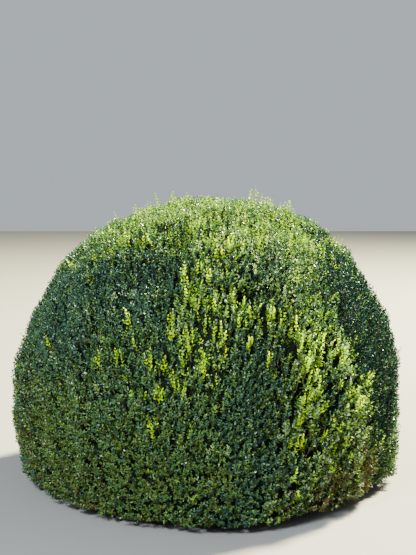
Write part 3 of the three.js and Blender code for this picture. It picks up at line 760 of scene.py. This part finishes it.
# The sprays: each is a forked twig of leafy shoots that ends at the clipped surface
sprays = {
    "count": 5200,
    "length": (0.080, 0.110),
    "jitter": 0.38,  # of the distance between sprays
    "margin": 0.02,  # how far that may take one below the lowest rise
    "lift": (0.85, 1.70),  # how far a spray leans up from straight out, in close and in loose growth
    "scatter": 0.30,
    "cut": (0.978, 1.0),  # share at which the shears cut
    "tufts": {"count": 5, "size": 0.006, "pitch": (22, 38), "seed": 70},
    "seed": 47,
}
shoots = {
    "count": 33000,
    "jitter": 0.45,
    "clump": (0.00, 0.50),  # how far shoots draw together in their spray, in close and in loose growth
    "cutScatter": (0.006, 0.034),  # of the shears, in close and in loose growth
    "pairs": 4,
    "leafy": 0.037,  # length of the shoot's leafy end
    "leafyMost": 0.92,  # of the whole shoot
    "leaf": (0.0130, 0.0182),
    "tipLess": 0.28,  # how much shorter the highest leaves are
    "splay": (1.15, 0.50),  # from the lowest pair to the highest, in radians
    "splayScatter": 0.24,
    "roll": 0.45,
    "turnScatter": 0.22,
    "width": 0.54,
    "twigRadius": 0.0014,
    "ownTone": 0.6,  # share of shoots with a tone of their own within a spray
    "ownLeafTone": (0.45, 0.75),  # share of leaves with their own tone, in plain and in glossy growth
    "coarse": 0.34,  # how much longer the leaves are in glossy growth
    "keptTone": (0.2, 1.6),  # share of leaves that don't turn older and darker (older leaves and painted shade), at the foot, and its gain upwards
    "thin": {"brown": 0.50, "olive": 0.12, "glossy": 0.22},  # share of leaves that are missing
}
newShoots = {  # what has grown since the clipping
    "odds": 0.04,  # in loose growth
    "least": 0.01,  # looseness where growth is close
    "reach": (0.004, 0.026),  # past the cut
    "reachPower": 1.5,  # more than 1 makes more short ones
    "upright": 1.2,  # how far they turn up
    "leafy": 0.048,
    "leaf": (0.0130, 0.0182),
    "splay": (0.88, 0.34),
    "below": 0.030,  # how far under its tip a sprig's second shoot ends
    "tuft": (2, 7),  # shoots in a sprig
    "ownLeafTone": 0.35,
    "lesser": (0.25, 0.80),  # reach of the others among them
    "sprigs": [  # azimuth and rise of the brightest, in the photograph's view
        (-80, 0.48), (-79, 0.54), (-83, 0.56), (-61, 0.3), (-62, 0.25), (-58, 0.34), (-100, 0.84),
        (-88, 0.79), (-86, 0.76), (-69, 0.79), (-120, 0.8), (-38, 0.72), (-96, 0.63), (-94, 0.55),
        (-93, 0.48), (-94, 0.4), (-90, 0.47), (-95, 0.35), (-98, 0.66), (-57, 0.33), (-54, 0.37),
        (-56, 0.27), (-47, 0.12), (-45, 0.06), (-99, 0.69), (-98, 0.58), (-91, 0.65), (-89, 0.57),
        (-92, 0.56), (-88, 0.51), (-86, 0.43), (-85, 0.37), (-88, 0.42), (-101, 0.49), (-100, 0.43),
        (-96, 0.42), (-91, 0.33), (-90, 0.28), (-88, 0.22), (-101, 0.28), (-105, 0.31), (-96, 0.3),
        (-109, 0.35), (-120, 0.28), (-114, 0.31), (-113, 0.46), (-142, 0.33), (-102, 0.16), (-95, 0.2),
        (-98, 0.21), (-103, 0.01), (-59, 0.2), (-78, 0.37), (-73, 0.3), (-71, 0.48), (-68, 0.47),
        (-61, 0.15), (-61, 0.39), (-63, 0.36), (-50, 0.33), (-49, 0.3), (-60, 0.22), (-66, 0.17),
        (-39, 0.17), (-41, 0.13), (-63, 0.05), (-64, 0.02), (-64, -0.11), (-66, -0.24), (-66, -0.33),
        (-39, 0.01), (-29, -0.17), (-105, 0.91), (-98, 0.87), (-84, 0.81), (-83, 0.76), (-85, 0.73),
        (-68, 0.81), (-68, 0.77), (-50, 0.8), (-42, 0.8), (-55, 0.77), (-48, 0.72), (-60, 0.62),
        (-137, 0.83), (-130, 0.81), (-149, 0.83), (-156, 0.67)],
    "strays": {"count": 110, "turn": (-5, 185), "rise": (-0.2, 0.95)},  # more round the other sides
    "looseSprigs": 26,  # and some where growth is loose
    "sprigReach": (0.034, 0.068),
    "tall": [  # x, y and how far past the cut
        (0.240, -0.060, 0.064), (0.325, 0.000, 0.046), (-0.310, -0.060, 0.040),
        (-0.190, -0.080, 0.046), (0.060, 0.260, 0.040), (0.420, -0.100, 0.030)],
    "tallShares": (1.0, 1.0, 0.7, 0.5),  # of that, for the shoots that stand there
}
bladeOutline = np.array([  # across, along and above, as shares of the width and the length
    (0.00, 0.00, 0.00), (0.42, 0.24, 0.10), (0.47, 0.66, 0.12),
    (0.00, 1.00, -0.10), (-0.47, 0.66, 0.12), (-0.42, 0.24, 0.10)])
bladeHalves = np.array([(0, 1, 2, 3), (0, 3, 4, 5)])


def nearestTo(ways, choices, count):  # the numbers of the choices nearest to each way
    tree = KDTree(len(choices))
    for i, choice in enumerate(choices):
        tree.insert(choice, i)
    tree.balance()
    return np.array([[found[1] for found in tree.find_n(way, count)] for way in ways])


def scattered(count, jitter, rng):  # even spots, each a little out of place, but for the bare gaps
    ways = spots(count, ball["lowestRise"])
    gap = math.sqrt(2 * math.pi * (1 - ball["lowestRise"]) / count)
    ways = unit(ways + rng.normal(size=ways.shape) * gap * jitter)
    low = ball["lowestRise"] - sprays["margin"]
    return ways[(ways[:, 2] > low) & (rng.random(count) > amountAt(ways, "open"))]


def growSprays(rng):
    ways = scattered(sprays["count"], sprays["jitter"], rng)
    count = len(ways)
    close, free = sprays["lift"]
    lift = close + (free - close) * amountAt(ways, "loose")
    sideways = unit(rng.normal(size=ways.shape)) * sprays["scatter"]
    lean = unit(outwardAt(ways) + up * lift[:, None] + sideways)
    low, high = sprays["cut"]
    cut = low + (high - low) * np.sqrt(rng.random(count)) + tuftAt(ways) - amountAt(ways, "dent")
    feet = ballPoints(ways, cut) - lean * rng.uniform(*sprays["length"], count)[:, None]
    feet[:, 2] = np.maximum(feet[:, 2], ball["skirt"])
    return {"ways": ways, "cut": cut, "feet": feet}


def raiseSprigs(ways, young, tips, aim, isNew, past, rng):  # tufts of new shoots, marked and by chance
    azimuths, rises = np.array(newShoots["sprigs"]).T
    sprigs = directions(np.radians(azimuths), rises)
    stray = newShoots["strays"]
    turns = rng.uniform(*stray["turn"], stray["count"]) * math.pi / 180
    strays = directions(turns, rng.uniform(*stray["rise"], stray["count"]))
    odds = young**2 / np.sum(young**2)
    among = ways[rng.choice(len(ways), newShoots["looseSprigs"], replace=False, p=odds)]
    near, far = newShoots["sprigReach"]
    for tufted in nearestTo(np.concatenate([sprigs, strays, among]), ways, newShoots["tuft"][1]):
        tufted = tufted[:rng.integers(*newShoots["tuft"])]
        isNew[tufted] = True
        past[tufted] = rng.uniform(near, far) * rng.uniform(*newShoots["lesser"], len(tufted))
        past[tufted[0]] = rng.uniform(near, far)
        past[tufted[1]] = past[tufted[0]] - newShoots["below"]
        tips[tufted[1]] = tips[tufted[0]]  # more leaves on the same sprig
        aim[tufted[1]] = aim[tufted[0]]


def raiseTall(tips, isNew):  # the few that stand highest
    shares = np.array(newShoots["tallShares"])
    for x, y, rise in newShoots["tall"]:
        across = np.linalg.norm(tips[:, :2] - (x, y), axis=-1)
        across[tips[:, 2] < ball["waist"]] = math.inf  # not from the underside
        nearby = np.argsort(across)[:len(shares)]
        surface = ballPoints(waysTo(tips[nearby]), np.ones(len(shares)))
        surface[1] = surface[0]
        heights = rise * shares
        heights[1] -= newShoots["below"]
        tips[nearby] = surface + up * heights[:, None]
        isNew[nearby] = True


def growShoots(spray, rng):  # the shoots of all sprays, as arrays with one row for each
    ways = scattered(shoots["count"], shoots["jitter"], rng)
    count = len(ways)
    pick = nearestTo(ways, spray["ways"], 1)[:, 0]
    loose = amountAt(ways, "loose")
    close, free = shoots["clump"]
    middle = spray["ways"][pick]
    ways = unit(ways + (middle - ways) * (close + (free - close) * loose)[:, None])
    feet = spray["feet"][pick]
    close, free = shoots["cutScatter"]
    short = np.abs(rng.normal(size=count)) * (close + (free - close) * loose)
    tips = ballPoints(ways, spray["cut"][pick] - short)
    aim = unit(tips - feet)
    young = loose + amountAt(ways, "bright") - amountAt(ways, "paintedShade")
    young = np.clip(young, newShoots["least"], None)
    isNew = rng.random(count) < young * newShoots["odds"]
    near, far = newShoots["reach"]
    past = isNew * (near + (far - near) * rng.random(count) ** newShoots["reachPower"])
    raiseSprigs(ways, young, tips, aim, isNew, past, rng)
    tips = tips + unit(aim + up * newShoots["upright"]) * past[:, None]
    raiseTall(tips, isNew)
    return {"ways": ways, "spray": pick, "feet": feet, "tips": tips, "isNew": isNew}


def tonesOf(amounts, times, rng):  # so many tones for each row, by the odds of what grows there
    odds = sum(amount[:, None] * np.array([toneOdds[kind].get(name, 0.0) for name in toneNames])
               for kind, amount in amounts.items())
    ladder = np.cumsum(odds, axis=1)[:, None, :]
    return np.argmax(ladder > rng.random((len(odds), times, 1)) * ladder[..., -1:], axis=2)


def growLeaves(shoot, rng):
    steps = shoots["pairs"]
    count = len(shoot["tips"])
    isNew = shoot["isNew"][:, None, None]
    along = unit(shoot["tips"] - shoot["feet"])
    side, across = framesOf(along)
    leafy = np.where(shoot["isNew"], newShoots["leafy"], shoots["leafy"])
    whole = np.linalg.norm(shoot["tips"] - shoot["feet"], axis=-1)
    leafy = np.minimum(leafy, whole * shoots["leafyMost"])
    turn = rng.uniform(0, 2 * math.pi, count)[:, None] + np.arange(steps) * math.pi / 2
    turn = turn[:, :, None] + np.array([0, math.pi])
    turn = turn + rng.normal(size=(count, steps, 2)) * shoots["turnScatter"]
    t = (np.arange(steps) / (steps - 1))[None, :, None]
    first, last = (np.where(isNew, new, old) for new, old in zip(newShoots["splay"], shoots["splay"]))
    splay = first + (last - first) * t + rng.normal(size=turn.shape) * shoots["splayScatter"]
    short, long = (np.where(isNew, new, old) for new, old in zip(newShoots["leaf"], shoots["leaf"]))
    length = (short + (long - short) * rng.random(turn.shape)) * (1.0 - shoots["tipLess"] * t**2)
    length = length * (1 + shoots["coarse"] * amountAt(shoot["ways"], "glossy"))[:, None, None]
    back = np.broadcast_to(leafy[:, None, None] * (1 - t), turn.shape)
    root = shoot["tips"][:, None, None] - along[:, None, None] * back[..., None]
    outward = side[:, None, None] * np.cos(turn)[..., None]
    outward = outward + across[:, None, None] * np.sin(turn)[..., None]
    blade = along[:, None, None] * np.cos(splay)[..., None] + outward * np.sin(splay)[..., None]
    face = along[:, None, None] * np.sin(splay)[..., None] - outward * np.cos(splay)[..., None]
    face = unit(face + np.cross(blade, face) * rng.normal(size=turn.shape)[..., None] * shoots["roll"])
    beam = np.cross(blade, face)
    toneOf = dealTones(shoot, turn.shape, t, rng)
    thin = sum(amountAt(shoot["ways"], kind) * share for kind, share in shoots["thin"].items())
    tips = root + blade * length[..., None]
    lowest = np.minimum(tips, root)[..., 2]
    keep = (rng.random(turn.shape) > thin[:, None, None]) & (lowest > ball["skirt"])
    mass = np.broadcast_to(massOf(shoot["feet"])[:, None, None], turn.shape)
    return {"root": root[keep], "blade": blade[keep], "face": face[keep], "beam": beam[keep],
            "length": length[keep], "tone": toneOf[keep], "mass": mass[keep]}


def dealTones(shoot, shape, t, rng):  # by spray, some shoots and leaves on their own, darker lower down as older leaves and as painted shade
    count = len(shoot["ways"])
    kinds = ("light", "bright", "glossy", "paintedShade", "castShadow", "olive", "brown")
    amounts = {kind: amountAt(shoot["ways"], kind) for kind in kinds}
    own = tonesOf({"plain": np.ones(count), **amounts}, 1 + shape[1] * shape[2], rng)
    _, first = np.unique(shoot["spray"], return_index=True)
    ofSpray = np.zeros(shoot["spray"].max() + 1, int)
    ofSpray[shoot["spray"][first]] = own[first, 0]
    old = np.where(rng.random(count) < shoots["ownTone"], own[:, 0], ofSpray[shoot["spray"]])
    plain, glossy = shoots["ownLeafTone"]
    share = plain + (glossy - plain) * amounts["glossy"][:, None, None]
    old = np.where(rng.random(shape) < share, own[:, 1:].reshape(shape), old[:, None, None])
    # painted light: shoots turned from the key lamp take lit-up tones, those facing it duller ones
    lit = np.clip(outwardAt(shoot["ways"]) @ unit(np.array(sunny["way"])) * sunny["gain"], 0, 1)
    own = tonesOf({"new": 1 - lit, "newSunny": lit}, 1 + shape[1] * shape[2], rng)
    apart = rng.random(shape) < newShoots["ownLeafTone"]
    new = np.where(apart, own[:, 1:].reshape(shape), own[:, :1, None])
    toneOf = np.where(shoot["isNew"][:, None, None], new, old)
    # lower leaves turn darker: older leaves, and painted shade inside the growth
    least, gain = shoots["keptTone"]
    lower = rng.random(shape) > least + t * gain
    for name, older in olderAndShadedTones.items():
        mine = lower & (toneOf == tone[name])
        toneOf[mine] = tone[older]
        lower = lower & ~mine  # each leaf only once
    return toneOf


def makeLeaves(leaf):
    width = leaf["length"] * shoots["width"]
    for number, name in enumerate(massNames):
        mine = leaf["mass"] == number
        size = np.stack([width[mine], leaf["length"][mine], width[mine]], -1)
        shape = bladeOutline * size[:, None]
        points = leaf["root"][mine][:, None] + leaf["beam"][mine][:, None] * shape[..., 0:1]
        points = points + leaf["blade"][mine][:, None] * shape[..., 1:2]
        points = points + leaf["face"][mine][:, None] * shape[..., 2:3]
        faces = bladeHalves + (np.arange(mine.sum()) * len(bladeOutline))[:, None, None]
        picked = np.repeat(leaf["tone"][mine], len(bladeHalves))
        piece = meshPiece("leaves_" + name, points.reshape(-1, 3), [faces.reshape(-1, 4)],
                          leafMaterials, picked)
        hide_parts("foliage_" + name)
        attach(piece, "root")
        print("leaves", name + ":", int(mine.sum()))


def makeTwigs(spray, shoot):
    sprayMass = massOf(spray["feet"])
    roots = springs[nearest(spray["feet"], sprayMass, springs, springMasses)]
    shootMass = sprayMass[shoot["spray"]]
    for number, name in enumerate(massNames):
        mine = sprayMass == number
        stems = np.stack([roots[mine], spray["feet"][mine]], 1)
        old = tapered(stems, branching["footRadius"], 3)
        own = shootMass == number
        young = spikes(shoot["feet"][own], shoot["tips"][own], shoots["twigRadius"])
        points, faces = joined([old, young])
        faceCounts = [sum(len(faces) for faces in sets) for sets in (old[1], young[1])]
        picked = np.repeat([0, 1], faceCounts)
        piece = meshPiece("twigs_" + name, points, faces, [bark, youngBark], picked)
        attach(piece, "root")


tuftAt = makeWaves(**sprays["tufts"])
rng = np.random.default_rng(sprays["seed"])
spray = growSprays(rng)
shoot = growShoots(spray, rng)
leaf = growLeaves(shoot, rng)
makeLeaves(leaf)
makeTwigs(spray, shoot)
print("sprays:", len(spray["ways"]), "leaves:", len(leaf["tone"]))

# The studio: pale floor, soft light and the photograph's viewing angle
studio = {
    "floorSize": 60,
    "floorColour": (0.215, 0.208, 0.196),
    "floorRoughness": 0.9,
    "air": ((0.86, 0.95, 1.00), 0.56),
    "key": {"at": (10.4, 7.9, 14.3), "size": 2.4, "power": 59000, "colour": (1.0, 0.94, 0.61)},
    "fill": {"at": (-2.8, -6.0, 5.2), "size": 1.6, "power": 1480, "colour": (0.84, 0.93, 1.0)},
    "aim": (0, 0, 0.75),
}
camera = {
    "distance": 5.58,
    "height": 1.60,
    "pitch": 5.15,  # down, in degrees
    "focalPixels": 1030,
    "imageHeight": 555,
    "sensor": 36,
}


def makeStudio():
    bpy.ops.mesh.primitive_plane_add(size=studio["floorSize"], location=(0, 0, 0))
    floor = bpy.context.object
    floor.name = "floor"
    material = plainMaterial("floor", studio["floorColour"], studio["floorRoughness"])
    floor.data.materials.append(material)
    world = bpy.data.worlds.new("air")
    bpy.context.scene.world = world
    world.use_nodes = True
    background = world.node_tree.nodes["Background"]
    background.inputs["Color"].default_value = (*studio["air"][0], 1)
    background.inputs["Strength"].default_value = studio["air"][1]
    for name in ("key", "fill"):
        look = studio[name]
        bpy.ops.object.light_add(type="AREA", location=look["at"])
        lamp = bpy.context.object
        lamp.name = name
        lamp.data.size = look["size"]
        lamp.data.energy = look["power"]
        lamp.data.color = look["colour"]
        aim = Vector(studio["aim"]) - Vector(look["at"])
        lamp.rotation_euler = aim.to_track_quat("-Z", "Y").to_euler()


def makeCamera():
    bpy.ops.object.camera_add(location=(0, -camera["distance"], camera["height"]))
    eye = bpy.context.object
    eye.rotation_euler = (math.radians(90 - camera["pitch"]), 0, 0)
    eye.data.sensor_width = camera["sensor"]
    eye.data.lens = camera["focalPixels"] / camera["imageHeight"] * camera["sensor"]
    bpy.context.scene.camera = eye


makeStudio()
makeCamera()
